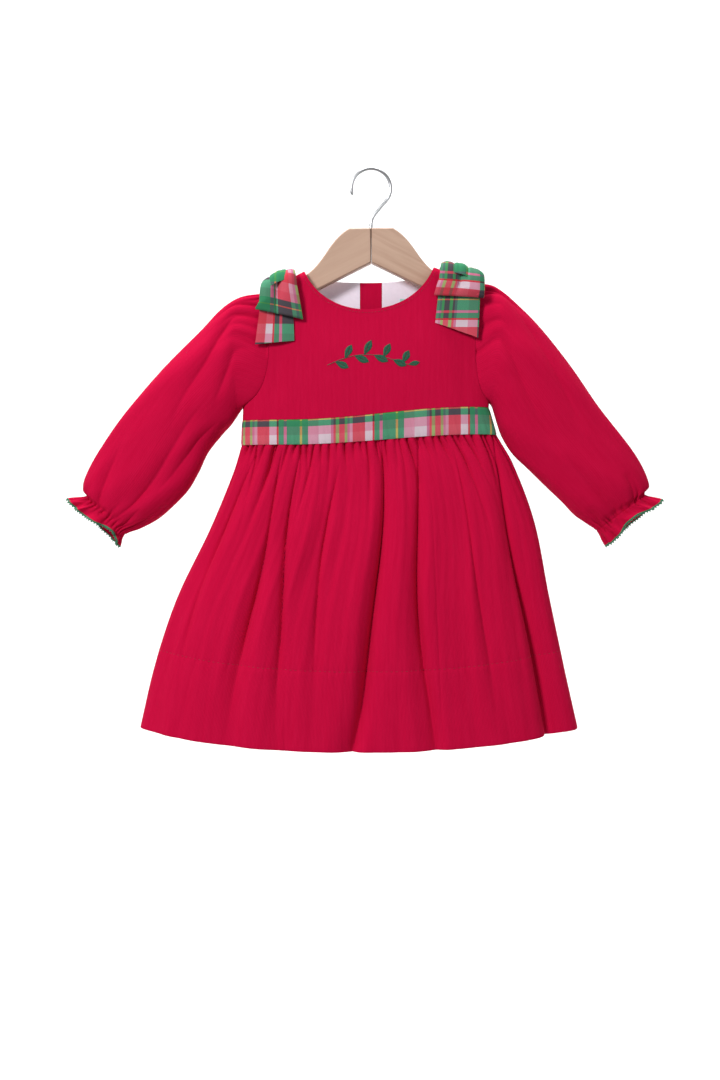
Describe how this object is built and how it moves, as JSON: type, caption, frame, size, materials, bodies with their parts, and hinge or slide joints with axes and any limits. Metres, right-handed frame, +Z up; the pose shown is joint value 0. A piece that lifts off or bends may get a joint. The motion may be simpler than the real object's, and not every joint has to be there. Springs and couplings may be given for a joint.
{
  "type": "toddler party dress on a hanger",
  "caption": "Long-sleeved toddler dress with a plaid waistband, shoulder bows and a gathered flared skirt, hanging on a wooden hanger with a wire hook.",
  "frame": {"origin": "where a rail touches the inside of the hanger's hook, in the dress's middle plane", "axes": "+Z up, -Y out of the dress's front, +X to the right of someone facing the front"},
  "size_m": [0.6328, 0.1136, 0.6128],
  "materials": {
    "corduroy": "crimson fine-wale cotton corduroy",
    "lining": "plain white cotton with a lilac cast",
    "label": "blank pale mint satin",
    "button": "moulded crimson plastic",
    "plaid": "woven cotton plaid in green, coral, pink, white and yellow-green",
    "edging": "green shell stitch",
    "wood": "pale planed hardwood",
    "steel": "bent steel wire"
  },
  "bodies": {
    "root": {"bodice_front": "corduroy", "bodice_back_left": "corduroy", "bodice_back_right": "corduroy", "back_placket": "corduroy", "skirt_front": "corduroy", "skirt_back": "corduroy", "sleeve_left": "corduroy", "sleeve_right": "corduroy", "lining_back_left": "lining", "lining_back_right": "lining", "neck_label": "label", "back_button_1": "button", "back_button_2": "button", "waistband_front": "plaid", "waistband_back": "plaid", "bow_left_loop_front": "plaid", "bow_left_loop_back": "plaid", "bow_left_tail_front": "plaid", "bow_left_tail_back": "plaid", "bow_left_knot": "plaid", "bow_right_loop_front": "plaid", "bow_right_loop_back": "plaid", "bow_right_tail_front": "plaid", "bow_right_tail_back": "plaid", "bow_right_knot": "plaid", "cuff_edging_left": "edging", "cuff_edging_right": "edging", "hanger_arm_left": "wood", "hanger_arm_right": "wood", "hanger_hook": "steel"}
  },
  "joints": []
}
